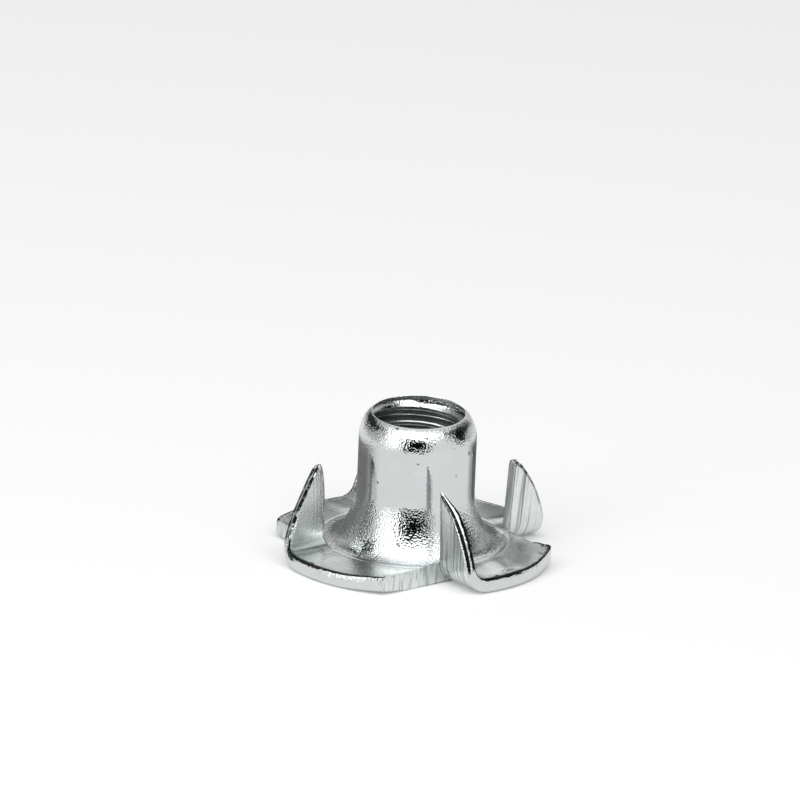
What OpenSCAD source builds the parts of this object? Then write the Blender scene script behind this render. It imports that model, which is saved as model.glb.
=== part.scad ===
// Four-prong tee nut, drawn and lanced from one disc of steel sheet.
// The underside of the flange lies on z = 0 and the threaded barrel rises along +Z.

/* [Barrel] */
// Diameter of the bore, the minor diameter of an M8 thread
bore_d = 6.8; // [6.2:0.1:7.4]
// Thickness of the sheet, which is also the wall of the drawn barrel
sheet_t = 1.2; // [0.9:0.05:1.5]
// Height of the mouth above the underside of the flange
overall_h = 11.6; // [10:0.1:16]
// Height over which the end of the barrel is rolled inwards
lip_h = 1.8; // [1:0.1:2.5]
// Width left between the bore and the rolled lip, chamfer included
mouth_rim_w = 0.25; // [0.2:0.05:0.4]
// Chamfer at the mouth of the bore
mouth_chamfer = 0.15; // [0.05:0.05:0.2]

/* [Flare] */
// Width of the flare, from the wall of the barrel to the flat of the flange
flare_w = 2.35; // [2:0.05:3]
// Radius of the fillet at the foot of the flare, next to the flange
flare_foot_r = 1.35; // [1:0.05:1.8]
// Radius of the long curve above it, which runs into the barrel
flare_neck_r = 6.35; // [5:0.05:8]

/* [Flange] */
// Diameter of the blank, and so of the flange over its four lobes
flange_d = 22; // [20:0.5:26]
// Round on the lower edge of the rim, where the blank was punched
rim_round_r = 0.35; // [0.1:0.05:0.5]
// Round on the sheared corner of each lobe
corner_round_r = 0.4; // [0.2:0.1:1]

/* [Prongs] */
// Distance from the axis to the outer face of a prong, at its root
prong_offset = 3.1; // [2.6:0.1:4]
// Thickness of a prong, ironed thinner than the sheet
prong_t = 0.8; // [0.6:0.05:1.2]
// Angle by which a prong leans out from upright
prong_lean_deg = 4; // [0:0.5:10]
// Inside radius of the bend at the root of a prong
bend_r = 0.9; // [0.5:0.1:1.2]
// Depth of the unstretched line inside the bend, as a share of the sheet
neutral_share = 0.3; // [0.25:0.01:0.35]

/* [Hidden] */
$fn = 128;

prong_count = 4;
bore_r = bore_d / 2;
barrel_r = bore_r + sheet_t;
mouth_r = bore_r + mouth_rim_w;
flange_r = flange_d / 2;

// The rolled lip is one arc, upright where it leaves the barrel
lip_in = barrel_r - mouth_r;
lip_arc_r = (lip_h * lip_h + lip_in * lip_in) / (2 * lip_in);
lip_z = overall_h - lip_h;

// Centres of the two flare curves, and the direction to the point where they meet
foot_c = [barrel_r + flare_w, sheet_t + flare_foot_r];
neck_c = foot_c + [
    flare_neck_r - flare_w,
    sqrt((flare_neck_r - flare_foot_r) ^ 2 - (flare_neck_r - flare_w) ^ 2)
];
meet_dir = (foot_c - neck_c) / norm(foot_c - neck_c);

// A prong is sheared off in line with the foot of the flare, along x = lance_x,
// and bent up from y = bend_c.x. Points of its cross-section are [y, z].
lance_x = foot_c.x;
bend_out_r = bend_r + sheet_t;
bend_c = [-prong_offset + bend_out_r, bend_out_r];
bend_in_c = bend_c + [(prong_t - sheet_t) / cos(prong_lean_deg), 0];
rise_dir = [-sin(prong_lean_deg), cos(prong_lean_deg)];
face_n = [rise_dir.y, -rise_dir.x];
root_out = bend_c - bend_out_r * face_n;
root_in = bend_in_c - bend_r * face_n;

// Sheet used up by the bend, and where the centre of the blank goes with the prong
bend_len = (90 - prong_lean_deg) * PI / 180 * (bend_r + neutral_share * sheet_t);
blank_c = root_out + (bend_c.x - bend_len) * rise_dir;

eps = 0.5; // how far a cutter runs past what it cuts

// The part of a corner outside the arc that rounds it, run a little past both faces
module outside_arc(corner, tangent_a, tangent_b, centre, r) {
    past = 1.2;
    difference() {
        polygon([for (p = [corner, tangent_a, centre, tangent_b]) centre + past * (p - centre)]);
        translate(centre) circle(r);
    }
}

// Half-section of the blank, its lower edge rounded
module blank_section(h) {
    difference() {
        square([flange_r, h]);
        outside_arc(
            [flange_r, 0], [flange_r - rim_round_r, 0], [flange_r, rim_round_r],
            [flange_r - rim_round_r, rim_round_r], rim_round_r
        );
    }
}

// Half-section on the axis side of the flare, depth below its upper surface
module flare_section(depth) {
    meet = foot_c + (flare_foot_r + depth) * meet_dir;
    difference() {
        square([foot_c.x, meet.y]);
        translate(foot_c) circle(flare_foot_r + depth);
    }
    difference() {
        square([foot_c.x, neck_c.y]);
        translate(neck_c) circle(flare_neck_r + depth);
    }
}

// Half-section of the barrel with its rolled lip
module barrel_section() {
    difference() {
        square([barrel_r, overall_h]);
        difference() {
            translate([bore_r, lip_z]) square([sheet_t + eps, lip_h + eps]);
            translate([barrel_r - lip_arc_r, lip_z]) circle(lip_arc_r);
        }
    }
}

// Half-section of the bore, with the chamfer at its mouth
module bore_section() {
    square([bore_r, overall_h + eps]);
    polygon([
        [0, overall_h - mouth_chamfer], [bore_r, overall_h - mouth_chamfer],
        [bore_r + mouth_chamfer, overall_h], [bore_r + mouth_chamfer, overall_h + eps],
        [0, overall_h + eps]
    ]);
}

// Drawn body before lancing: barrel, flare and the whole round flange
module drawn_blank() {
    rotate_extrude() difference() {
        union() {
            blank_section(sheet_t);
            flare_section(0);
            barrel_section();
        }
        flare_section(sheet_t);
        bore_section();
    }
}

// What the lance opens in the flange beside one prong
module notch() {
    translate([lance_x, -flange_r - eps, -eps])
        cube([flange_r, flange_r + eps + bend_c.x, sheet_t + 2 * eps]);
}

// What is lost from the sharp corner of a lobe, where the notch runs out of its rim
module corner_loss() {
    c = [lance_x - corner_round_r,
        -sqrt((flange_r - corner_round_r) ^ 2 - (lance_x - corner_round_r) ^ 2)];
    out = c / norm(c);
    tip = [lance_x, (flange_r - lance_x * out.x) / out.y];
    translate([0, 0, -eps]) linear_extrude(height = sheet_t + 2 * eps)
        outside_arc(tip, [lance_x, c.y], flange_r * out, c, corner_round_r);
}

// Cross-section of the bend at the root of a prong, the space between two arcs
module bend_section() {
    difference() {
        intersection() {
            translate(bend_c) circle(bend_out_r);
            polygon([
                [bend_c.x, sheet_t], [bend_c.x, -eps], [root_out.x - eps, -eps],
                2 * root_out - root_in, root_in, bend_in_c, [bend_in_c.x, sheet_t]
            ]);
        }
        translate(bend_in_c) circle(bend_r);
    }
}

// Cross-section of the upright part of a prong, longer than the prong
module upright_section() {
    top = flange_r * rise_dir;
    polygon([root_out, root_out + top, root_in + top, root_in]);
}

// Pushes a cross-section along +X, from the sheared edge of a prong past the rim
module along_prong() {
    translate([lance_x, 0, 0]) rotate([90, 0, 90])
        linear_extrude(height = flange_r - lance_x + eps) children();
}

// One prong with its bend. Its curved edge is the edge of the blank, bent up with it;
// round the bend that edge is drawn in along a straight line.
module prong() {
    rim_x = sqrt(flange_r ^ 2 - bend_c.x ^ 2);
    root_x = sqrt(flange_r ^ 2 - ((root_in - blank_c) * rise_dir) ^ 2);
    draw_in = [root_x - rim_x, root_in.x - bend_c.x];
    intersection() {
        union() {
            along_prong() bend_section();
            intersection() {
                along_prong() upright_section();
                translate([0, blank_c.x, blank_c.y]) rotate([prong_lean_deg - 90, 0, 0])
                    cylinder(r = flange_r, h = 4 * sheet_t, center = true);
            }
        }
        rotate_extrude() blank_section(flange_r);
        linear_extrude(height = flange_r) polygon([
            [0, bend_c.x], [rim_x, bend_c.x], [rim_x, bend_c.x] + 3 * draw_in, [0, -flange_r]
        ]);
    }
}

module tee_nut() {
    color("silver") {
        difference() {
            drawn_blank();
            for (i = [0 : prong_count - 1]) rotate([0, 0, i * 360 / prong_count]) {
                notch();
                corner_loss();
            }
        }
        for (i = [0 : prong_count - 1]) rotate([0, 0, i * 360 / prong_count]) prong();
    }
}

tee_nut();
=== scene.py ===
"""Four-prong tee nut, drawn, lanced and threaded from one disc of zinc-plated steel sheet.

Shapes are worked out in millimetres and scaled to metres once, at the end. The underside of the
flange is z = 0 and the barrel rises along +Z, as in the part's source.
"""

import logging
import math
from collections.abc import Callable, Iterable
from dataclasses import dataclass, field
from enum import IntEnum
from functools import partial
from typing import NamedTuple, Self

import bmesh
import bpy
from bmesh.types import BMEdge, BMesh, BMFace, BMLayerItem, BMVert
from mathutils import Matrix, Vector, noise

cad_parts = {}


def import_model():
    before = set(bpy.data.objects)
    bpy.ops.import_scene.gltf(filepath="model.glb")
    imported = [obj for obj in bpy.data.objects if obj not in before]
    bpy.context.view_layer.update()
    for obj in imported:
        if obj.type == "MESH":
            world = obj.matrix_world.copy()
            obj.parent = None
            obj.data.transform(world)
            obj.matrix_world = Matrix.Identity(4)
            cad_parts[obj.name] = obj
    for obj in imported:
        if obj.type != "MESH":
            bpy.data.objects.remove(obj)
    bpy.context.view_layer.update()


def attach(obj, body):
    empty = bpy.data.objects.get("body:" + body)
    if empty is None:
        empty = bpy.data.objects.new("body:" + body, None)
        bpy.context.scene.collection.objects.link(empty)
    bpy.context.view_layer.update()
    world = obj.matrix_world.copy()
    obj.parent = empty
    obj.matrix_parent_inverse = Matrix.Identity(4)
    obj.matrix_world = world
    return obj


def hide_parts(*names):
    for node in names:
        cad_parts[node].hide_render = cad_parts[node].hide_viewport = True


LOG = logging.getLogger("tee_nut")
MM = 0.001
UM = 1e-6
WELD = 0.002  # points nearer than this, in millimetres, are one point
RING_NEAR = 0.01  # how near to the ring a point of the joined parts has to be to be welded
GRID_NEAR = 1e-4  # how near to 0 or 1 a place on a grid is on its edge
NORTH = Vector((0.0, 1.0, 0.0))
SOUTH = Vector((0.0, -1.0, 0.0))
WEST = Vector((-1.0, 0.0, 0.0))
ORIGIN = (0.0, 0.0, 0.0)
AXIS = (0.0, 0.0, 1.0)
WHITE = (1.0, 1.0, 1.0, 1.0)
MIX_A, MIX_B, MIX_OUT = 6, 7, 2  # numbers of the colour sockets of a Mix node

Point = tuple[float, float]
Span = tuple[float, float]
Tree = bpy.types.NodeTree
Socket = bpy.types.NodeSocket


def smooth(start: float, end: float, value: float) -> float:
    """Smooth step of a value, from 0 at start to 1 at end, which may be the lower one."""
    t = min(max((value - start) / (end - start), 0.0), 1.0)
    return t * t * (3.0 - 2.0 * t)


def arc(centre: Point, radius: float, start: float, end: float, steps: int) -> list[Point]:
    """Points along an arc in the (r, z) half-plane, both ends included. Angles are from +r, in degrees."""
    angles = [math.radians(start + (end - start) * i / steps) for i in range(steps + 1)]
    return [(centre[0] + radius * math.cos(a), centre[1] + radius * math.sin(a)) for a in angles]


def polar(angle: float, radius: float, z: float = 0.0) -> Vector:
    """A point from its direction in radians, its distance from the axis and its height."""
    return Vector((radius * math.cos(angle), radius * math.sin(angle), z))


def spun(points: Iterable[Vector], angle: float, steps: int) -> BMesh:
    """Spins a line of points about the axis.

    Args:
        points: The line.
        angle: How far round it is spun, in radians. A full turn is closed.
        steps: In how many steps.

    Returns:
        The mesh.
    """
    bm = bmesh.new()
    line = [bm.verts.new(point) for point in points]
    edges = [bm.edges.new(pair) for pair in zip(line, line[1:])]
    closed = angle == math.tau
    bmesh.ops.spin(bm, geom=line + edges, cent=ORIGIN, axis=AXIS, angle=angle, steps=steps, use_merge=closed)
    return bm


def add_object(name: str, data: bpy.types.ID | BMesh) -> bpy.types.Object:
    """Puts a new object in the scene.

    Args:
        name: Its name.
        data: Its data, or a mesh in millimetres, which is scaled to metres and used up.

    Returns:
        The object.
    """
    if isinstance(data, BMesh):
        bm, data = data, bpy.data.meshes.new(name)
        bmesh.ops.scale(bm, vec=(MM, MM, MM), verts=bm.verts)
        bm.to_mesh(data)
        bm.free()
    thing = bpy.data.objects.new(name, data)
    bpy.context.scene.collection.objects.link(thing)
    return thing


class Finish(IntEnum):
    """Material slot of each kind of surface on the nut."""

    PLATE = 0
    PRESSED = 1
    SHEAR = 2
    IRONED = 3
    THREAD = 4


def marks(bm: BMesh) -> list[BMLayerItem]:
    """Gets the layers that the finishes follow, and adds them where the mesh has none.

    Args:
        bm: The mesh.

    Returns:
        Layers for a point's place on the flat blank in millimetres, how dark a line runs along a cut edge
        there, and how much painted shade it gets, which mutes the highlight inside a bend and makes the
        painted dark specks on the flare.
    """
    layers = bm.verts.layers
    kinds = {"blank": layers.float_vector, "arris": layers.float, "painted_shade": layers.float}
    return [kind.get(name) or kind.new(name) for name, kind in kinds.items()]


@dataclass(frozen=True)
class Sheet:
    """The disc of sheet that the whole nut is made from, and how it is lanced."""

    radius: float = 11.0
    thickness: float = 1.2
    cut_x: float = 6.95  # distance of the shear lines from the axis
    bend_y: float = -1.0  # where a prong's bend begins along its shear line
    around: int = 44
    across: int = 36
    rim_band: float = 0.1

    @property
    def inner_r(self) -> float:
        """Radius of the ring on which the lobes meet the drawn body."""
        return math.hypot(self.cut_x, self.bend_y)

    @property
    def first_angle(self) -> float:
        """Direction of the first notch corner, in radians."""
        return math.atan2(self.bend_y, self.cut_x)

    def row(self, across: float) -> float:
        """Share of the way to the rim for a grid row, with one wide last row for the rim."""
        last = 1.0 - 1.0 / self.across
        return across / last * (1.0 - self.rim_band) if across < last + GRID_NEAR else 1.0


@dataclass(frozen=True)
class EdgeForm:
    """Section of a cut edge: how far in and at what height each line along it runs, from the top."""

    inset: tuple[float, ...]
    height: tuple[float, ...]

    def toward(self, other: Self, share: float) -> Self:
        """Section part of the way to another, where a share of 0 is this one and 1 is the other."""
        both = ((self.inset, other.inset), (self.height, other.height))
        return EdgeForm(*(tuple(a + share * (b - a) for a, b in zip(*pair)) for pair in both))


RIM = EdgeForm((0.30, 0.20, 0.13, 0.08, 0.04, 0.0, 0.0, 0.02, 0.08, 0.17, 0.29, 0.35),
               (1.2, 1.2, 1.18, 1.13, 1.05, 0.9, 0.35, 0.23, 0.12, 0.04, 0.002, 0.0))
CUT = EdgeForm((0.09, 0.04, 0.025, 0.01, 0.0, 0.0, 0.0, 0.01, 0.03, 0.06, 0.10, 0.15),
               (1.2, 1.2, 1.19, 1.17, 1.14, 1.10, 0.22, 0.14, 0.08, 0.03, 0.002, 0.0))
PRONG_RIM = EdgeForm((0.13, 0.08, 0.05, 0.02, 0.005, 0.0, 0.07, 0.08, 0.10, 0.15, 0.22, 0.3),
                     (1.2, 1.2, 1.18, 1.12, 0.98, 0.82, 0.58, 0.5, 0.16, 0.07, 0.02, 0.0))
PRONG_CUT = EdgeForm((0.26, 0.17, 0.10, 0.05, 0.02, 0.0, 0.0, 0.01, 0.03, 0.06, 0.10, 0.15),
                     (1.2, 1.19, 1.16, 1.10, 1.02, 0.94, 0.22, 0.14, 0.08, 0.03, 0.002, 0.0))
LAST_LINE = len(RIM.inset) - 1

# How dark a line each line of a rim gets, by its number: everywhere, near the bend, and up the prong
ARRIS_TOP = {0: 0.8, 1: 1.0, 2: 1.0, 3: 0.85}
ARRIS_ROLLED = {3: 1.0, 4: 0.75, 5: 0.35}
ARRIS_RAISED = {3: 1.0, 4: 1.0, 5: 0.9, 6: 0.25, 7: 1.0, 8: 1.0, 9: 0.3}


class Edge(NamedTuple):
    """One edge at a point of the outline: which way it faces, its section and its finish."""

    normal: Vector
    form: EdgeForm
    finish: Finish


@dataclass(frozen=True)
class EdgePoint:
    """A point on the outline of the flat lobe, with the edge or two edges that meet there."""

    place: Vector
    edges: list[Edge]
    scale: float  # of the insets

    def line(self, index: int) -> Vector:
        """Where one line of the edge form passes this point.

        Args:
            index: Number of the line, from the top face down.

        Returns:
            The point, still on the flat sheet.
        """
        insets = [edge.form.inset[index] * self.scale for edge in self.edges]
        height = sum(edge.form.height[index] for edge in self.edges) / len(self.edges)
        if len(insets) == 1:
            shift = -self.edges[0].normal * insets[0]
        else:
            a, b = (edge.normal for edge in self.edges)
            det = a.x * b.y - a.y * b.x
            shift = Vector((insets[1] * a.y - insets[0] * b.y, insets[0] * b.x - insets[1] * a.x, 0.0)) / det
        return Vector((self.place.x + shift.x, self.place.y + shift.y, height))


@dataclass(frozen=True)
class Press:
    """How one lobe and its prong came out of the press. Lengths in millimetres, angles in degrees."""

    lean: float = 4.0
    curl: float = 0.0
    tip_width: float = 0.2
    tip_thin: float = 0.8  # length over which the prong thins to its tip
    tip_blunt: float = 0.8
    tip_share: float = 0.3  # of the thickness, left at a sharp tip
    lift: float = 0.3  # rise of the sheared corner
    drag: float = 0.3  # rise beside the root of the neighbouring prong
    burr: float = 0.06
    swell: float = 0.06
    swell_width: float = 2.4
    crease: float = 0.03
    # strength of the painted shade that mutes the highlight inside the bend
    bend_shade: float = 0.6
    broken: float = 0.85  # share of the rim's dark line that is left up the prong


@dataclass(frozen=True)
class Prong:
    """One prong, sheared on one side and bent up beside its lobe."""

    sheet: Sheet
    press: Press
    curl_from: float = 2.3
    curl_power: float = 1.5
    curl_steps: int = 24
    thickness: float = 0.8
    bend_r: float = 0.9
    neutral_share: float = 0.3
    shear_gap: float = 0.03
    shear_run: float = 0.6
    rows: int = 36
    bend_rows: int = 12
    full_width: float = 0.4  # a narrower prong has smaller insets
    root_scale: float = 0.02
    root_rise: float = 3.0
    rim_along: Span = (0.0, 0.3)

    @property
    def bend_len(self) -> float:
        """Length of sheet used up by the bend."""
        return self._turn(0.0) * (self.bend_r + self.neutral_share * self.sheet.thickness)

    @property
    def length(self) -> float:
        """Length of the flat prong from its bend line to its tip."""
        half = self.sheet.cut_x + self.press.tip_width
        return math.sqrt(self.sheet.radius ** 2 - half ** 2) + self.sheet.bend_y

    def _turn(self, above: float) -> float:
        """Angle from the flat, in radians, at a length above the bend."""
        extra = self.press.curl * max(above - self.curl_from, 0.0) ** self.curl_power
        return math.pi / 2 - math.radians(self.press.lean + extra)

    def flat(self, across: float, along: float) -> EdgePoint:
        """A point of the flat prong.

        Args:
            across: 0 at the sheared side, 1 at the rim of the blank.
            along: 0 at the bend line, 1 at the tip.

        Returns:
            Its place on the flat sheet, and the edges that meet there.
        """
        share = self.bend_rows / self.rows
        if along <= share:
            down = along / share * self.bend_len
        else:
            down = self.bend_len + (along - share) / (1.0 - share) * (self.length - self.bend_len)
        y = self.sheet.bend_y - down
        left = self.sheet.cut_x + self.shear_gap * smooth(0.0, self.shear_run, down)
        right = math.sqrt(self.sheet.radius ** 2 - y * y)
        place = Vector((left + self.sheet.row(across) * (right - left), y, 0.0))
        edges, scale = [], min(1.0, (right - self.sheet.cut_x) / self.full_width)
        if across < GRID_NEAR:
            raised = along > GRID_NEAR
            edges.append(Edge(WEST, PRONG_CUT if raised else CUT, Finish.SHEAR))
            scale *= min(1.0, self.root_scale + self.root_rise * along) if raised else 0.0
        if along > 1.0 - GRID_NEAR:
            edges.append(Edge(SOUTH, PRONG_RIM, Finish.PLATE))
        if across > 1.0 - GRID_NEAR:
            rim = RIM.toward(PRONG_RIM, smooth(*self.rim_along, along))
            edges.append(Edge(place.normalized(), rim, Finish.PLATE))
        return EdgePoint(place, edges, scale)

    def bent(self, point: Vector) -> Vector:
        """Carries a point of the flat prong round the bend and up.

        Args:
            point: Point of the flat prong, its z the depth above the outer face.

        Returns:
            The same point on the finished prong.
        """
        sheet, press = self.sheet, self.press
        down = sheet.bend_y - point.y
        bent_share = min(down / self.bend_len, 1.0)
        thin = 1.0 + (self.thickness / sheet.thickness - 1.0) * smooth(0.0, 1.0, bent_share)
        to_tip = max(self.length - down, 0.0)
        thin *= press.tip_share + (1.0 - press.tip_share) * smooth(-press.tip_blunt, press.tip_thin, to_tip)
        outer_r = self.bend_r + sheet.thickness
        turn = self._turn(0.0) * bent_share
        inward = Vector((math.sin(turn), math.cos(turn)))
        place = Vector((sheet.bend_y, outer_r)) - inward * outer_r
        above = max(down - self.bend_len, 0.0)
        if above > 0.0:
            for i in range(self.curl_steps):
                turn = self._turn(above * (i + 0.5) / self.curl_steps)
                place += Vector((-math.cos(turn), math.sin(turn))) * above / self.curl_steps
            turn = self._turn(above)
            inward = Vector((math.sin(turn), math.cos(turn)))
        place += inward * point.z * thin
        return Vector((point.x, place.x, place.y))


@dataclass
class Lobe:
    """A quarter of the flange with its prong, made flat and then bent.

    The layer tag numbers the points of the outline. A Span is where an effect begins and where it
    is complete.
    """

    sheet: Sheet
    prong: Prong
    turn: int
    bm: BMesh = field(default_factory=bmesh.new)
    tag: BMLayerItem = field(init=False)
    edge_points: dict[int, EdgePoint] = field(default_factory=dict)

    # Sections of the edges
    corner_round: float = 0.19
    corner_segments: int = 4
    corner_tight: float = 0.5
    corner_around: Span = (0.6, 0.95)

    # How far the lancing moves the flat lobe up
    lift_angle: Span = (18.0, 41.0)
    lift_r: Span = (8.6, 11.0)
    drag_width: float = 0.9
    drag_power: float = 1.6
    drag_x: Span = (8.4, 3.4)
    drag_start: float = 0.35
    ragged: float = 0.25
    ragged_per_mm: float = 1.7
    ragged_seed: float = 5.0
    crease_r: float = 7.3
    crease_width: float = 0.1
    swell_inner: Span = (7.2, 8.4)
    swell_outer: Span = (10.8, 9.9)
    burr_x: Span = (5.7, 7.0)
    burr_edge: Span = (0.28, 0.0)
    burr_mean: float = 0.6
    burr_per_mm: float = 5.0
    burr_seed: float = 3.0

    # How the plating is marked, with painted shade inside the bend to mute its highlight, and dark lines
    # along the edges
    blank_step: float = 7.0
    outer_z: float = 0.1
    bend_shade_near: Span = (1.3, 0.2)
    bend_shade_z: Span = (0.3, 0.9)
    top_z: float = 1.0
    rim_dark_line: float = 0.72
    rim_r: Span = (9.9, 10.75)
    rim_y: Span = (2.0, 0.5)
    torn: float = 2.0
    torn_angle: Span = (22.0, 33.0)
    torn_r: Span = (9.5, 10.3)
    torn_side: Span = (0.9, 0.3)
    torn_x: Span = (5.0, 6.2)
    torn_edge: float = 3.2
    torn_lines: int = 3
    raised_y: Span = (1.3, 2.2)
    rolled_y: Span = (4.5, 1.0)

    def build(self) -> BMesh:
        """Makes the lobe and its prong as one closed shape, open only on the ring.

        Returns:
            The mesh, turned to its own place.
        """
        marks(self.bm)
        self.tag = self.bm.verts.layers.int.new("edge_point")
        self._lay_flat()
        self._thicken()
        self._round_corner()
        self._mark()
        for v in self.bm.verts:
            if v.co.y < self.sheet.bend_y:
                v.co = self.prong.bent(v.co)
            else:
                v.co.z += self._raise(v.co)
        place = Matrix.Rotation(self.turn * math.pi / 2, 3, "Z")
        bmesh.ops.rotate(self.bm, verts=self.bm.verts, cent=ORIGIN, matrix=place)
        return self.bm

    def _lay_flat(self) -> None:
        """Lays out the lobe and its prong as flat grids, joined on the bend line, and notes their outline."""
        sheet, bm = self.sheet, self.bm
        grids = ((sheet.around, sheet.across, self._flat), (sheet.across, self.prong.rows, self.prong.flat))
        for columns, rows, flat in grids:
            for v in bmesh.ops.create_grid(bm, x_segments=columns, y_segments=rows, size=0.5)["verts"]:
                point = flat(v.co.x + 0.5, v.co.y + 0.5)
                v.co = point.place
                if point.edges:
                    v[self.tag] = len(self.edge_points) + 1
                    self.edge_points[v[self.tag]] = point
        line = [v for v in bm.verts if abs(v.co.y - sheet.bend_y) < WELD and v.co.x > sheet.cut_x - WELD]
        bmesh.ops.remove_doubles(bm, verts=line, dist=WELD)

    def _flat(self, around: float, across: float) -> EdgePoint:
        """A point of the flat lobe.

        Args:
            around: 0 at the bend line, 1 at the sheared side.
            across: 0 on the ring at the drawn body, 1 at the rim.

        Returns:
            Its place on the flat sheet, and the edges that meet there.
        """
        sheet = self.sheet
        inner = sheet.first_angle + around * math.pi / 2
        start = math.asin(sheet.bend_y / sheet.radius)
        outer = start + around * (math.asin(sheet.cut_x / sheet.radius) - start)
        place = polar(inner, sheet.inner_r).lerp(polar(outer, sheet.radius), sheet.row(across))
        edges, scale = [], 1.0
        if around > 1.0 - GRID_NEAR:
            edges.append(Edge(NORTH, CUT, Finish.SHEAR))
        if across > 1.0 - GRID_NEAR:
            edges.append(Edge(place.normalized(), RIM, Finish.PLATE))
            scale = 1.0 - self.corner_tight * smooth(*self.corner_around, around)
        if across < GRID_NEAR:
            scale = 0.0
            if around < GRID_NEAR:
                edges.append(Edge(WEST, CUT, Finish.SHEAR))
        return EdgePoint(place, edges, scale)

    def _thicken(self) -> None:
        """Gives the flat grids their thickness and their formed edges."""
        bm, tag, ring = self.bm, self.tag, self.sheet.inner_r
        top = list(bm.faces)
        outline = (e for e in bm.edges if e.is_boundary)
        lines = [e for e in outline if any(abs(v.co.length - ring) >= WELD for v in e.verts)]
        under = bmesh.ops.duplicate(bm, geom=top + list(bm.edges) + list(bm.verts))["geom"]
        for f in bm.faces:
            f.material_index = Finish.PRESSED
        for f in top:
            for v in f.verts:
                v.co.z = self.sheet.thickness
        self._shape_line([v for e in lines for v in e.verts], 0)
        for index in range(1, LAST_LINE + 1):
            made = bmesh.ops.extrude_edge_only(bm, edges=lines)["geom"]
            for f in (g for g in made if isinstance(g, BMFace)):
                sheared = all(self.edge_points[v[tag]].edges[0].finish == Finish.SHEAR for v in f.verts)
                f.material_index = Finish.SHEAR if sheared else Finish.PLATE
            verts = [g for g in made if isinstance(g, BMVert)]
            new = set(verts)
            lines = [g for g in made if isinstance(g, BMEdge) and new.issuperset(g.verts)]
            self._shape_line(verts, index)
        under_line = [g for g in under if isinstance(g, BMVert) and g[tag]]
        self._shape_line(under_line, LAST_LINE)
        bmesh.ops.remove_doubles(bm, verts=under_line + verts, dist=WELD)

    def _shape_line(self, verts: Iterable[BMVert], index: int) -> None:
        """Moves the points of one line along the edge to where the edge form has it, and marks how dark a
        line runs there.

        Args:
            verts: The points.
            index: Number of the line, from the top face down.
        """
        press, (_, arris, _) = self.prong.press, marks(self.bm)
        for v in verts:
            point = self.edge_points[v[self.tag]]
            v.co = point.line(index)
            if all(edge.form is CUT for edge in point.edges):
                burr = self.torn_edge * press.burr * smooth(*self.burr_x, point.place.x)
                v[arris] = burr if index < self.torn_lines else 0.0
            if any(edge.normal is SOUTH for edge in point.edges):
                v[arris] = 0.0
            elif any(edge.form not in (CUT, PRONG_CUT) for edge in point.edges):
                raised = smooth(*self.raised_y, self.sheet.bend_y - point.place.y)
                dark_line = [ARRIS_TOP.get(index, 0.0), ARRIS_RAISED.get(index, 0.0) * raised]
                dark_line.append(ARRIS_ROLLED.get(index, 0.0) * smooth(*self.rolled_y, abs(point.place.y)))
                v[arris] = max(dark_line) * (1.0 + (press.broken - 1.0) * raised)

    def _round_corner(self) -> None:
        """Rounds the sharp corner of the lobe, where the sheared side meets the rim."""
        number = next(n for n, p in self.edge_points.items() if len(p.edges) == 2 and p.place.y > 0.0)
        bmesh.ops.bevel(
            self.bm, geom=[e for e in self.bm.edges if all(v[self.tag] == number for v in e.verts)],
            offset=self.corner_round, offset_type="OFFSET", segments=self.corner_segments,
            profile=0.5, affect="EDGES", material=-1, clamp_overlap=True,
        )

    def _mark(self) -> None:
        """Writes what the finishes follow, while the lobe is still flat."""
        sheet, press = self.sheet, self.prong.press
        for f in self.bm.faces:
            middle = f.calc_center_median()
            if middle.y < sheet.bend_y and middle.z < self.outer_z and f.material_index == Finish.PRESSED:
                f.material_index = Finish.IRONED
        blank, arris, painted_shade = marks(self.bm)
        bend = sheet.bend_y - self.prong.bend_len / 2
        for v in self.bm.verts:
            x, y, z = v.co
            r, angle = math.hypot(x, y), math.degrees(math.atan2(y, x))
            v[blank] = (x, y, z + self.blank_step * self.turn)
            # Painted shade inside the bend, which mutes the bend's highlight
            v[painted_shade] = press.bend_shade * smooth(*self.bend_shade_near, abs(y - bend)) * smooth(*self.bend_shade_z, z)
            if v[self.tag] or z <= self.top_z:
                continue
            corner = smooth(*self.torn_angle, angle) * smooth(*self.torn_r, r)
            side = smooth(*self.torn_side, sheet.cut_x - y) * smooth(*self.torn_x, x)
            v[arris] = self.torn * press.burr * max(corner, side)
            if y > sheet.bend_y:
                v[arris] += self.rim_dark_line * smooth(*self.rim_r, r) * smooth(*self.rim_y, y)

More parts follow.
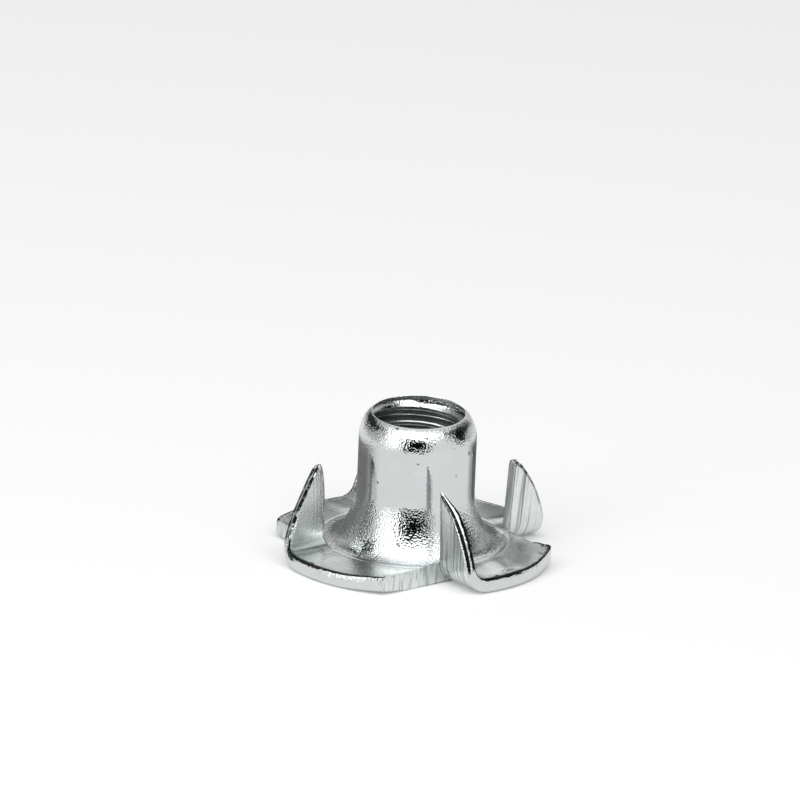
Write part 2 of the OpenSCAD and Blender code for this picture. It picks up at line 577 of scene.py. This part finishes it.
    def _raise(self, point: Vector) -> float:
        """How far the lancing has moved a point of the lobe up.

        The sheared corner stands a little proud, the top of the sheared side is dragged up more and
        more towards the root of the neighbouring prong, the middle of the top swells beside the bend,
        and the punch left a fine ring round the flare.

        Args:
            point: Point of the flat lobe.

        Returns:
            Height to add.
        """
        sheet, press = self.sheet, self.prong.press
        r, angle = math.hypot(point.x, point.y), math.degrees(math.atan2(point.y, point.x))
        from_cut = sheet.cut_x - point.y
        outward = max((r - self.lift_r[0]) / (self.lift_r[1] - self.lift_r[0]), 0.0)
        lift = press.lift * smooth(*self.lift_angle, angle) * outward ** 2
        near = max(1.0 - from_cut / self.drag_width, 0.0) ** self.drag_power
        along = min(max((self.drag_x[0] - point.x) / (self.drag_x[0] - self.drag_x[1]), 0.0), 1.0)
        along *= smooth(sheet.inner_r, sheet.inner_r + self.drag_start, r)
        rough = noise.noise(Vector((point.x * self.ragged_per_mm, self.turn * self.ragged_seed, 0.0)))
        drag = press.drag * near * along * (1.0 + self.ragged * rough)
        crease = press.crease * math.exp(-((r - self.crease_r) / self.crease_width) ** 2)
        beside = min((point.y - sheet.bend_y) / press.swell_width, 1.0)
        swell = press.swell * (0.5 - 0.5 * math.cos(math.tau * beside))
        swell *= smooth(*self.swell_inner, r) * smooth(*self.swell_outer, r)
        rough = noise.noise(Vector((point.x * self.burr_per_mm, self.turn * self.burr_seed, 0.0)))
        burr = press.burr * smooth(*self.burr_edge, from_cut) * smooth(*self.burr_x, point.x)
        burr *= self.burr_mean + rough
        return lift + (drag - crease + swell + burr) * point.z / sheet.thickness


@dataclass(frozen=True)
class Thread:
    """Right-hand metric thread cut into the bore."""

    minor_r: float = 3.4
    major_r: float = 4.03
    pitch: float = 1.25
    crest: float = 0.26
    crest_z: float = 10.67
    crest_angle: float = 50.7
    flank: float = 30.0
    end_z: float = 2.4

    def depth(self, angle: float, z: float) -> float:
        """How deep the thread is cut at one place.

        Args:
            angle: Direction from the axis, in radians.
            z: Height.

        Returns:
            The depth there, from 0 on a crest.
        """
        along = z - self.crest_z - self.pitch * (angle - math.radians(self.crest_angle)) / math.tau
        off = abs((along / self.pitch + 0.5) % 1.0 - 0.5) * self.pitch
        deep = (off - self.crest / 2) / math.tan(math.radians(self.flank))
        return min(max(deep, 0.0), self.major_r - self.minor_r)


@dataclass(frozen=True)
class Body:
    """What the press drew from the middle of the disc: flare, barrel, rolled lip and trumpet."""

    sheet: Sheet
    thread: Thread = Thread()
    barrel_r: float = 4.6
    height: float = 11.6
    mouth_r: float = 3.65
    foot_r: float = 1.35
    neck_r: float = 6.35
    flare_w: float = 2.35
    foot_steps: int = 12
    neck_steps: int = 14
    barrel_rows: int = 12
    inner_foot_steps: int = 14
    inner_neck_steps: int = 8
    thread_row: float = 0.06
    thread_top: float = 10.77
    thread_near: float = 0.02

    # The rolled lip is two arcs: its radius at the barrel, and where each arc ends, in degrees
    lip_h: float = 1.8
    lip_low_r: float = 3.5
    lip_turns: Span = (26.0, 62.0)
    lip_steps: tuple[int, int] = (10, 12)

    # The countersink, from the mouth down to where the thread begins
    sink: tuple[Point, ...] = (
        (3.63, 11.597), (3.65, 11.52), (3.69, 11.4), (3.73, 11.28), (3.74, 11.22), (3.70, 11.17),
        (3.55, 11.02),
    )
    sink_r: float = 3.75
    sink_z: float = 10.87

    # The mouth is trimmed at a slant, is a little uneven and its countersink is tipped
    high_side: float = 50.7
    rise: float = 0.06
    slant: float = 0.25
    tip: float = 0.4
    tip_z: Span = (9.6, 11.5)
    dent: float = 0.03
    dent_per_mm: float = 1.1
    dent_up: float = 0.5
    dent_z: Span = (9.4, 10.4)

    # The thread fades out in the countersink
    cut_from: float = 2.0
    cut_fade: Span = (11.3, 10.9)

    # A spot of painted shade on the flare, which the plate shows as dark specks standing in for the grain's
    # dark reflections: its direction in degrees, distance from the axis and height
    shade_speckle_at: tuple[float, float, float] = (193.5, 5.85, 1.85)
    shade_speckle_r: Span = (1.25, 0.4)
    shade_speckle: float = 0.68
    under_z: float = 0.5  # the underside has the flange's finish up to here

    @property
    def foot(self) -> Point:
        """Centre of the fillet at the foot of the flare."""
        return self.barrel_r + self.flare_w, self.sheet.thickness + self.foot_r

    @property
    def neck(self) -> Point:
        """Centre of the long curve that runs from the fillet into the barrel."""
        rise = math.sqrt((self.neck_r - self.foot_r) ** 2 - (self.neck_r - self.flare_w) ** 2)
        return self.barrel_r + self.neck_r, self.foot[1] + rise

    @property
    def meet(self) -> float:
        """Direction in which the fillet and the long curve meet, in degrees."""
        return 180.0 + math.degrees(math.atan2(self.neck[1] - self.foot[1], self.neck[0] - self.foot[0]))

    def _outside(self) -> list[Point]:
        """Half-section of the outside, from the flange to the mouth.

        Returns:
            Points (r, z) in order.
        """
        low_r = self.lip_low_r
        low_end, top_end = self.lip_turns
        low, top = (polar(math.radians(end), 1.0) for end in self.lip_turns)
        top_r = (self.barrel_r - self.mouth_r - low_r * (1.0 - low.x)) / (low.x - top.x)
        lip_z = self.height - low_r * low.y - top_r * (top.y - low.y)
        low_centre = (self.barrel_r - low_r, lip_z)
        top_centre = (low_centre[0] + (low_r - top_r) * low.x, lip_z + (low_r - top_r) * low.y)
        neck_z, rows = self.neck[1], self.barrel_rows
        return (
            [(self.sheet.inner_r, self.sheet.thickness)]
            + arc(self.foot, self.foot_r, 270.0, self.meet, self.foot_steps)
            + arc(self.neck, self.neck_r, self.meet, 180.0, self.neck_steps)[1:]
            + [(self.barrel_r, neck_z + (lip_z - neck_z) * i / rows) for i in range(1, rows)]
            + arc(low_centre, low_r, 0.0, low_end, self.lip_steps[0])
            + arc(top_centre, top_r, low_end, top_end, self.lip_steps[1])[1:]
        )

    def _inside(self) -> list[Point]:
        """Half-section of the bore and the trumpet under it, from the thread's top to the underside.

        Returns:
            Points (r, z) in order.
        """
        t = self.sheet.thickness
        inner_neck, (neck_x, neck_z) = self.neck_r + t, self.neck
        bore: list[Point] = []
        z = self.sink_z
        while z > self.thread.end_z:
            bore.append((neck_x - math.sqrt(inner_neck ** 2 - min(z - neck_z, 0.0) ** 2), z))
            z -= self.thread_row
        start = 180.0 + math.degrees(math.asin((neck_z - z) / inner_neck))
        return (
            bore
            + arc(self.neck, inner_neck, start, self.meet, self.inner_neck_steps)
            + arc(self.foot, self.foot_r + t, self.meet, 270.0, self.inner_foot_steps)[1:]
            + [(self.sheet.inner_r, 0.0)]
        )

    def build(self) -> BMesh:
        """Spins the half-section about the axis, cuts the thread and marks the finishes.

        Returns:
            The mesh, open only on the ring where the lobes join it.
        """
        start = self.sheet.first_angle
        section = self._outside() + list(self.sink) + self._inside()
        bm = spun((polar(start, r, z) for r, z in section), math.tau, 4 * self.sheet.around)
        bmesh.ops.remove_doubles(bm, verts=bm.verts, dist=WELD / 4)
        _, _, painted_shade = marks(bm)
        angle, r, z = self.shade_speckle_at
        shade_speckle = polar(math.radians(angle), r, z)
        for v in bm.verts:
            v[painted_shade] = self.shade_speckle * smooth(*self.shade_speckle_r, (v.co - shade_speckle).length)
            self._trim(v)
            self._cut_thread(v)
        for f in bm.faces:
            middle = f.calc_center_median()
            in_bore = math.hypot(middle.x, middle.y) < self.thread.major_r + self.thread_near
            if in_bore and self.thread.end_z < middle.z < self.thread_top:
                f.material_index = Finish.THREAD
            if middle.z < self.under_z:
                f.material_index = Finish.PRESSED
        return bm

    def _trim(self, v: BMVert) -> None:
        """Leaves the end of the barrel as it was trimmed and sunk: uneven, slanted and a little askew.

        Args:
            v: Point of the spun body.
        """
        r = math.hypot(*v.co.xy)
        if r > self.thread.major_r or v.co.z > self.cut_fade[0]:
            move = self.dent * noise.noise(v.co * self.dent_per_mm) * smooth(*self.dent_z, v.co.z)
            v.co += Vector((v.co.x / r, v.co.y / r, self.dent_up)) * move
        low = (1.0 - math.cos(math.atan2(v.co.y, v.co.x) - math.radians(self.high_side))) / 2
        start, end = self.tip_z
        if math.hypot(*v.co.xy) < self.sink_r and v.co.z < end:
            v.co.z += self.tip * low * smooth(start, self.sink_z, v.co.z) * smooth(end, self.sink_z, v.co.z)
        above = v.co.z - (self.height - self.lip_h)
        if above > 0.0:
            v.co.z += (self.rise - (self.slant + self.rise) * low) * (above / self.lip_h) ** 2

    def _cut_thread(self, v: BMVert) -> None:
        """Pushes a point of the bore out to the surface of the thread, if it lies inside it.

        Args:
            v: Point of the spun body.
        """
        r = math.hypot(*v.co.xy)
        if r > self.thread.major_r or not self.cut_from < v.co.z < self.cut_fade[0]:
            return
        deep = self.thread.depth(math.atan2(v.co.y, v.co.x), v.co.z)
        wanted = max(r, self.thread.minor_r + deep * smooth(*self.cut_fade, v.co.z))
        v.co.x *= wanted / r
        v.co.y *= wanted / r


@dataclass(frozen=True)
class TeeNut:
    """The whole nut, in one closed piece."""

    sheet: Sheet = Sheet()
    presses: tuple[Press, ...] = (
        Press(lean=6.0, tip_width=0.4, tip_thin=0.5, tip_blunt=0.5, tip_share=0.5, burr=0.07, swell=0.09,
              swell_width=1.7, broken=0.9),
        Press(curl=1.0),
        Press(lean=3.9, curl=3.0, tip_thin=0.6, tip_blunt=0.6, tip_share=0.6, lift=0.32, drag=0.6, burr=0.0,
              swell=0.03, crease=0.04, bend_shade=1.0, broken=0.77),
        Press(lean=1.5, tip_width=0.12, tip_thin=1.7, tip_blunt=0.35, tip_share=0.12, lift=0.45, drag=0.25,
              burr=0.28, swell=0.24, swell_width=4.4, crease=0.06, bend_shade=0.3, broken=1.0),
    )

    def build(self) -> bpy.types.Object:
        """Makes the piece, in metres, at the origin.

        Returns:
            The finished object.
        """
        whole = bmesh.new()
        marks(whole)
        parts = [Body(self.sheet).build()]
        for turn, press in enumerate(self.presses):
            parts.append(Lobe(self.sheet, Prong(self.sheet, press), turn).build())
        for part in parts:
            loose = bpy.data.meshes.new("part")
            part.to_mesh(loose)
            part.free()
            whole.from_mesh(loose)
            bpy.data.meshes.remove(loose)
        inner_r = self.sheet.inner_r
        ring = [v for v in whole.verts if abs(math.hypot(*v.co.xy) - inner_r) < RING_NEAR]
        bmesh.ops.remove_doubles(whole, verts=ring, dist=2 * WELD)
        bmesh.ops.collapse(whole, edges=[e for e in whole.edges if not e.is_manifold])
        bmesh.ops.recalc_face_normals(whole, faces=whole.faces)
        for f in whole.faces:
            f.smooth = True
        counts = len(whole.verts), len(whole.faces), sum(not e.is_manifold for e in whole.edges)
        LOG.info("nut: %d vertices, %d faces, %d open edges", *counts)
        return add_object("tee_nut_sheet", whole)


def linear(code: str) -> tuple[float, ...]:
    """Turns an sRGB hex colour, such as c8ccce, into linear RGBA."""
    parts = [int(code[i:i + 2], 16) / 255 for i in (0, 2, 4)]
    return *(p / 12.92 if p <= 0.04045 else ((p + 0.055) / 1.055) ** 2.4 for p in parts), 1.0


def add_node(
    tree: Tree, kind: str, values: dict[str | int, object] | None = None,
    links: dict[str | int, Socket | None] | None = None, out: str | int = 0, **settings: object,
) -> Socket:
    """Adds a node with its settings, socket values and incoming links.

    Args:
        tree: Node tree to add to.
        kind: Type name of the node, without ShaderNode.
        values: Input socket name or number to default value.
        links: Input socket name or number to the output that feeds it, or None to leave it open.
        out: Name or number of the output that is wanted.
        settings: Attributes of the node itself.

    Returns:
        That output of the new node.
    """
    node = tree.nodes.new("ShaderNode" + kind)
    for name, value in settings.items():
        setattr(node, name, value)
    for name, value in (values or {}).items():
        node.inputs[name].default_value = value
    for name, source in (links or {}).items():
        if source is not None:
            tree.links.new(source, node.inputs[name])
    return node.outputs[out]


def between(low: float, high: float) -> dict[str, float]:
    """Socket values of a node that maps low to 0 and high to 1."""
    return {"From Min": low, "From Max": high}


@dataclass
class Zinc:
    """Bright zinc electroplate on steel: a cool grey mirror, broken by the grain of the strained sheet.

    A field that ends in _mm is the size of a pattern and one in _um its depth. A Span is where a
    noise, or a height in millimetres, turns a pattern on.
    """

    name: str
    colour: str = "dadddd"
    dark: str = "c4c9c9"
    roughness: float = 0.2

    # Clouds in the plating, and the sheet's grain, about three times as coarse as it is so that it shows
    cloud_mm: float = 2.5
    cloud_detail: float = 5.0
    cloud_rough: float = 0.8
    rough_swing: float = 0.05
    grain_mm: float = 0.14
    grain_um: float = 40.0

    # Between these heights the die ironed the barrel smooth, and it left upright marks and a few pits
    ironed: Span | None = None
    iron_fade: Span = (-0.4, 0.6)
    iron_left: float = 0.1
    lip_fade: float = 1.0
    lip_grain: float = 0.75
    die_mm: tuple[float, float, float] = (0.28, 0.28, 9.0)
    die_um: float = 3.5
    # Painted dark specks where the painted shade is strong, standing in for the grain's dark reflections
    shade_speckle: Span = (1.06, 1.18)
    shade_speckle_colour: str = "3a403f"
    pit_mm: float = 0.5
    pits: Span = (0.79, 0.83)
    pit_z: Span = (1.6, 1.9)
    pit_colour: str = "707877"

    # Lines that the lance drew along the blank, from one place on it
    line_mm: float = 0.0
    line_long_mm: float = 12.5
    line_um: float = 0.0
    line_dark: str = "8d9494"
    line_from: float | None = None
    line_fade: float = 0.5
    lines: Span = (0.48, 0.66)

    # Rings that the press left on the flange, and the painted shade inside a bend that mutes its highlight
    ring_mm: float = 0.16
    ring_um: float = 0.0
    painted_shade_colour: str = "8d9391"

    # Edges with a dark ragged line along them, and deeper grain there
    arris: str = ""
    arris_mm: float = 0.5
    dark_line: Span = (1.08, 1.3)
    torn: float = 1.5

    node: Callable[..., Socket] = field(init=False)
    where: Socket = field(init=False)
    up: Socket = field(init=False)
    grain: Socket = field(init=False)
    reliefs: list[tuple[Socket, float]] = field(default_factory=list)
    stains: list[tuple[Socket, str]] = field(default_factory=list)

    def make(self) -> bpy.types.Material:
        """Builds the material, patterned on Object coordinates and on the layers of the mesh.

        Returns:
            The material.
        """
        material = bpy.data.materials.new(self.name)
        material.use_nodes = True
        tree = material.node_tree
        self.node = node = partial(add_node, tree)
        self.where = where = node("TexCoord", out="Object")
        self.up = node("SeparateXYZ", links={0: where}, out="Z")
        self.grain = node("TexNoise", {"Scale": 1 / (self.grain_mm * MM), "Detail": 0.0}, {"Vector": where})
        clouds = {"Scale": 1 / (self.cloud_mm * MM), "Detail": self.cloud_detail}
        cloud = node("TexNoise", clouds | {"Roughness": self.cloud_rough}, {"Vector": where})
        swing = {"To Min": self.roughness - self.rough_swing, "To Max": self.roughness + self.rough_swing}
        rough = node("MapRange", swing, {"Value": cloud})
        tints = {MIX_A: linear(self.colour), MIX_B: linear(self.dark)}
        tint = node("Mix", tints, {"Factor": cloud}, out=MIX_OUT, data_type="RGBA")
        self._add_grain()
        if self.line_mm:
            self._add_lines()
        if self.ring_um:
            self._add_rings()
        if self.ironed:
            self._add_die_marks()
        if self.arris:
            self._add_dark_edges()
        normal = None
        for height, depth in self.reliefs:
            normal = node("Bump", {"Distance": depth * UM}, {"Height": height, "Normal": normal})
        for amount, colour in self.stains:
            links = {"Factor": amount, MIX_A: tint}
            tint = node("Mix", {MIX_B: linear(colour)}, links, out=MIX_OUT, data_type="RGBA")
        inputs = tree.nodes["Principled BSDF"].inputs
        inputs["Metallic"].default_value = 1.0
        for name, source in {"Roughness": rough, "Base Color": tint, "Normal": normal}.items():
            tree.links.new(source, inputs[name])
        return material

    def _add_grain(self) -> None:
        """Adds the grain: deeper where an edge is torn, nearly gone where the barrel was ironed."""
        node, factors = self.node, []
        if self.arris:
            near = node("Attribute", out="Fac", attribute_name="arris")
            factors.append(node("Math", {1: self.torn, 2: 1.0}, {0: near}, operation="MULTIPLY_ADD"))
        if self.ironed:
            low, high = self.ironed
            away = node("Math", {1: (low + high) / 2 * MM}, {0: self.up}, operation="SUBTRACT")
            away = node("Math", links={0: away}, operation="ABSOLUTE")
            start, end = ((high - low) / 2 + fade for fade in self.iron_fade)
            span = {"From Min": start * MM, "From Max": end * MM, "To Min": self.iron_left}
            factors.append(node("MapRange", span, {"Value": away}, interpolation_type="SMOOTHSTEP"))
            span = {"From Min": high * MM, "From Max": (high + self.lip_fade) * MM, "To Min": 1.0}
            factors.append(node("MapRange", span | {"To Max": self.lip_grain}, {"Value": self.up}))
        height = self.grain
        for factor in factors:
            height = node("Math", links={0: height, 1: factor}, operation="MULTIPLY")
        self.reliefs.append((height, self.grain_um))

    def _add_lines(self) -> None:
        """Adds the lines that the lance drew along the blank."""
        node = self.node
        blank = node("Attribute", out="Vector", attribute_name="blank")
        scale = (1 / self.line_mm, 1 / self.line_long_mm, 1.0)
        drawn = node("Mapping", {"Scale": scale}, {"Vector": blank})
        lines = node("TexNoise", {"Scale": 1.0}, {"Vector": drawn})
        if self.line_from is not None:
            place = node("SeparateXYZ", links={0: blank}, out="Y")
            begun = between(self.line_from, self.line_from - self.line_fade)
            begun = node("MapRange", begun, {"Value": place})
            lines = node("Math", links={0: lines, 1: begun}, operation="MULTIPLY")
        self.reliefs.append((lines, self.line_um))
        self.stains.append((node("MapRange", between(*self.lines), {"Value": lines}), self.line_dark))

    def _add_rings(self) -> None:
        """Adds fine rings about the axis, and the painted shade that mutes the highlight inside the bends."""
        node = self.node
        flat = node("VectorMath", {1: (1.0, 1.0, 0.0)}, {0: self.where}, operation="MULTIPLY")
        radius = node("VectorMath", links={0: flat}, out="Value", operation="LENGTH")
        rings = node("TexNoise", {"Scale": 1 / (self.ring_mm * MM)}, {"W": radius}, noise_dimensions="1D")
        self.reliefs.append((rings, self.ring_um))
        self.stains.append((node("Attribute", out="Fac", attribute_name="painted_shade"), self.painted_shade_colour))

    def _add_die_marks(self) -> None:
        """Adds upright die marks, painted dark specks standing in for the grain's dark reflections where the
        painted shade is strong, and a few pits above the flange.
        """
        node, where = self.node, {"Vector": self.where}
        along = node("Mapping", {"Scale": [1 / (size * MM) for size in self.die_mm]}, where)
        die = node("TexNoise", {"Scale": 1.0, "Detail": 1.0}, {"Vector": along})
        self.reliefs.append((die, self.die_um))
        shade_speckle = node("Attribute", out="Fac", attribute_name="painted_shade")
        shade_speckle = node("Math", links={0: shade_speckle, 1: self.grain}, operation="ADD")
        self.stains.append((node("MapRange", between(*self.shade_speckle), {"Value": shade_speckle}), self.shade_speckle_colour))
        spots = node("TexNoise", {"Scale": 1 / (self.pit_mm * MM), "Detail": 0.0}, where)
        pits = node("MapRange", between(*self.pits), {"Value": spots})
        above = node("MapRange", between(*(z * MM for z in self.pit_z)), {"Value": self.up})
        self.stains.append((node("Math", links={0: pits, 1: above}, operation="MULTIPLY"), self.pit_colour))

    def _add_dark_edges(self) -> None:
        """Adds a dark line along the edges, in ragged patches."""
        node = self.node
        near = node("Attribute", out="Fac", attribute_name="arris")
        scale = {"Scale": 1 / (self.arris_mm * MM), "Detail": 3.0}
        ragged = node("TexNoise", scale, {"Vector": self.where})
        edge = node("Math", links={0: ragged, 1: near}, operation="ADD")
        edge = node("MapRange", between(*self.dark_line), {"Value": edge}, interpolation_type="SMOOTHSTEP")
        self.stains.append((edge, self.arris))


FINISHES = {
    # Barrel, flare, lip and rim: the clearest mirror, pebbled where the sheet was strained
    Finish.PLATE: Zinc(
        "bright_zinc_plate", roughness=0.09, grain_um=34.0, ironed=(5.0, 9.35), arris="151918",
    ),
    # Flat faces that the die pressed: paler and softer, with fine rings and painted shade inside the bends
    Finish.PRESSED: Zinc(
        "zinc_on_pressed_flange", colour="f6f9f8", dark="bcc2c1", roughness=0.24, grain_um=9.0, ring_um=9.0,
        arris="151918", torn=9.0,
    ),
    # Sheared sides: the palest and dullest, with short tears across the sheet
    Finish.SHEAR: Zinc(
        "zinc_on_sheared_face", colour="ecefee", dark="ccd1d1", roughness=0.42, grain_um=8.0, line_mm=0.2,
        line_um=12.0, line_dark="b0b6b6", arris="151918",
    ),
    # Outer faces of the prongs: long dark streaks where the lance slid along them
    Finish.IRONED: Zinc(
        "zinc_drawn_by_the_lance", colour="f4f7f6", dark="c4caca", roughness=0.24, grain_um=6.0, line_mm=0.26,
        line_um=20.0, line_dark="858d8d", line_from=-1.05,
    ),
    # Thread: cut metal, thinly plated and so a little darker
    Finish.THREAD: Zinc("zinc_in_cut_thread", colour="c4c8c6", dark="a0a5a2", roughness=0.25, grain_um=6.0),
}


@dataclass(frozen=True)
class Flag:
    """A dark curved card that only the metal sees. Angles are from the camera's side, in degrees."""

    name: str
    radius: float
    start: float
    end: float
    low: float
    high: float
    depth: float = 1.0
    fade_start: float = 0.01
    fade_end: float = 0.01
    fade_top: float = 0.01


@dataclass(frozen=True)
class Lamp:
    """A soft lamp, placed from the camera's side in degrees. A level of 1 is as bright as white."""

    name: str
    azimuth: float
    elevation: float
    distance: float
    width: float
    height: float
    level: float


def seen_rays(tree: Tree) -> Socket:
    """Tells the rays that look at the studio, which are those of the eye, of reflections and of glass.

    Args:
        tree: Node tree to add to.

    Returns:
        1 for such a ray, 0 for light on its way to a matt surface.
    """
    seen = None
    for kind in ("Camera", "Glossy", "Transmission"):
        ray = add_node(tree, "LightPath", out=f"Is {kind} Ray")
        seen = add_node(tree, "Math", {1: 0.0}, {0: ray, 1: seen}, operation="MAXIMUM")
    return seen


@dataclass(frozen=True)
class Studio:
    """White floor, soft lights, dark cards for the metal to reflect, and the camera."""

    azimuth: float = -39.252
    elevation: float = 18.547
    roll: float = 2.399
    distance: float = 1378.0
    lens_mm: float = 795.15
    clip_m: Span = (0.01, 10.0)
    offset_x: float = 1.037
    offset_y: float = -11.265
    fit_z: float = 0.6
    floor_half: float = 2500.0
    floor_colour: str = "f6f6f6"
    floor_extra: float = 0.1
    clearance: float = 0.01
    ambient: float = 0.45
    card_colour: str = "0c0f0e"
    card_rows: int = 12
    card_steps: int = 48
    flags: tuple[Flag, ...] = (
        Flag("front_flag", 60.0, -26.0, 22.0, 0.0, 45.0),
        Flag("left_flag", 62.0, -170.0, -67.0, 8.0, 118.0, 0.42, 16.0, 14.0, 20.0),
        Flag("right_flag", 62.0, 68.0, 166.0, 10.0, 118.0, 0.45, 12.0, 30.0, 20.0),
        Flag("right_core", 59.0, 74.0, 114.0, 6.0, 84.0, 0.93, 8.0, 8.0, 16.0),
        Flag("back_flag", 64.0, 150.0, 210.0, 8.0, 34.0, 0.45, 14.0, 14.0, 9.0),
        Flag("left_lip_card", 17.0, -154.0, -78.0, 13.5, 26.0, 0.95, 10.0, 10.0, 3.0),
        Flag("right_lip_card", 17.0, 54.0, 146.0, 13.0, 28.0, 0.88, 28.0, 26.0, 4.0),
        Flag("left_wall", 16.0, -172.0, -64.0, 0.0, 6.0, 0.78, 16.0, 42.0, 1.8),
        Flag("right_wall", 17.0, 102.0, 168.0, 0.0, 6.8, 0.84, 26.0, 9.0, 2.6),
    )
    lamps: tuple[Lamp, ...] = (
        Lamp("overhead", -8.0, 62.0, 500.0, 840.0, 510.0, 1.6),
        Lamp("side_fill", -46.0, 17.0, 500.0, 250.0, 300.0, 1.3),
    )

    def build(self) -> None:
        """Sets the whole studio."""
        self._camera()
        self._world()
        self._floor()
        for flag in self.flags:
            self._card(flag)
        for lamp in self.lamps:
            self._light(lamp)
        bpy.context.scene.view_settings.view_transform = "Standard"

    def _toward(self, azimuth: float, elevation: float) -> Vector:
        """Unit vector to an elevation, and an azimuth counted from the camera's to its right, in degrees."""
        a, e = math.radians(self.azimuth + azimuth), math.radians(elevation)
        return Vector((math.sin(a) * math.cos(e), -math.cos(a) * math.cos(e), math.sin(e)))

    def _camera(self) -> None:
        """Creates the camera and makes it the scene's."""
        back, level = self._toward(0.0, self.elevation), self._toward(90.0, 0.0)
        tilt = Matrix.Rotation(math.radians(self.roll), 3, back)
        right, up = tilt @ level, tilt @ back.cross(level)
        place = back * self.distance - right * self.offset_x - up * self.offset_y + Vector((0, 0, self.fit_z))
        data = bpy.data.cameras.new("camera")
        data.lens = self.lens_mm
        data.clip_start, data.clip_end = self.clip_m
        camera = add_object("camera", data)
        camera.matrix_world = Matrix.Translation(place * MM) @ Matrix((right, up, back)).transposed().to_4x4()
        bpy.context.scene.camera = camera

    def _dress(self, name: str, bm: BMesh, colour: str) -> bpy.types.Object:
        """Turns a mesh in millimetres into a matt part of the studio.

        Args:
            name: Name of the object and its material.
            bm: Its mesh, which is used up.
            colour: sRGB hex colour.

        Returns:
            The new object.
        """
        thing = add_object(name, bm)
        material = bpy.data.materials.new(name)
        material.use_nodes = True
        matt = {"Base Color": linear(colour), "Roughness": 1.0, "Specular IOR Level": 0.0}
        for socket, value in matt.items():
            material.node_tree.nodes["Principled BSDF"].inputs[socket].default_value = value
        thing.data.materials.append(material)
        return thing

    def _floor(self) -> None:
        """Lays a floor that fades to plain white for the eye and for reflections, and keeps the shadow."""
        bm = bmesh.new()
        bmesh.ops.create_grid(bm, x_segments=1, y_segments=1, size=self.floor_half)
        bmesh.ops.translate(bm, verts=bm.verts, vec=(0.0, 0.0, -self.clearance))
        tree = self._dress("floor", bm, self.floor_colour).data.materials[0].node_tree
        inputs = tree.nodes["Principled BSDF"].inputs
        links = {0: seen_rays(tree)}
        extra = add_node(tree, "Math", {1: self.floor_extra}, links, operation="MULTIPLY")
        inputs["Emission Color"].default_value = WHITE
        tree.links.new(extra, inputs["Emission Strength"])

    def _card(self, flag: Flag) -> None:
        """Stands a dark curved card round the nut, seen by reflections only.

        Args:
            flag: The card.
        """
        start = math.radians(self.azimuth + flag.start) - math.pi / 2
        heights = (flag.low + (flag.high - flag.low) * i / self.card_rows for i in range(self.card_rows + 1))
        line = (polar(start, flag.radius, z) for z in heights)
        bm = spun(line, math.radians(flag.end - flag.start), self.card_steps)
        shade = bm.verts.layers.float.new("shade")
        for v in bm.verts:
            from_start = math.degrees(math.atan2(v.co.y, v.co.x) - start) % 360.0
            density = flag.depth * smooth(0.0, flag.fade_start, from_start)
            density *= smooth(0.0, flag.fade_end, flag.end - flag.start - from_start)
            v[shade] = density * smooth(0.0, flag.fade_top, flag.high - v.co.z)
        thing = self._dress(flag.name, bm, self.card_colour)
        tree = thing.data.materials[0].node_tree
        dense = add_node(tree, "Attribute", out="Fac", attribute_name="shade")
        tree.links.new(dense, tree.nodes["Principled BSDF"].inputs["Alpha"])
        thing.visible_camera = thing.visible_diffuse = thing.visible_shadow = False

    def _light(self, lamp: Lamp) -> None:
        """Hangs a soft lamp aimed at the nut.

        Args:
            lamp: The lamp.
        """
        back = self._toward(lamp.azimuth, lamp.elevation)
        data = bpy.data.lights.new(lamp.name, "AREA")
        data.shape = "RECTANGLE"
        data.size, data.size_y = lamp.width * MM, lamp.height * MM
        data.energy = lamp.level * math.pi * data.size * data.size_y
        thing = add_object(lamp.name, data)
        thing.location = back * lamp.distance * MM
        thing.rotation_euler = back.to_track_quat("Z", "Y").to_euler()

    def _world(self) -> None:
        """Makes the surroundings as bright as a lit white room for the object, and white to the eye."""
        world = bpy.data.worlds.new("studio")
        bpy.context.scene.world = world
        world.use_nodes = True
        tree = world.node_tree
        span = {"To Min": self.ambient, "To Max": 1.0}
        level = add_node(tree, "MapRange", span, {"Value": seen_rays(tree)})
        inputs = tree.nodes["Background"].inputs
        inputs["Color"].default_value = WHITE
        tree.links.new(level, inputs["Strength"])


def main() -> None:
    """Builds the nut and its studio."""
    logging.basicConfig(level=logging.INFO, format="%(name)s: %(message)s")
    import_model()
    piece = TeeNut().build()
    for slot in Finish:
        piece.data.materials.append(FINISHES[slot].make())
    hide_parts("tee_nut")
    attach(piece, "root")
    LOG.info("nut dressed")
    Studio().build()
    LOG.info("studio set")


if __name__ == "__main__":
    main()
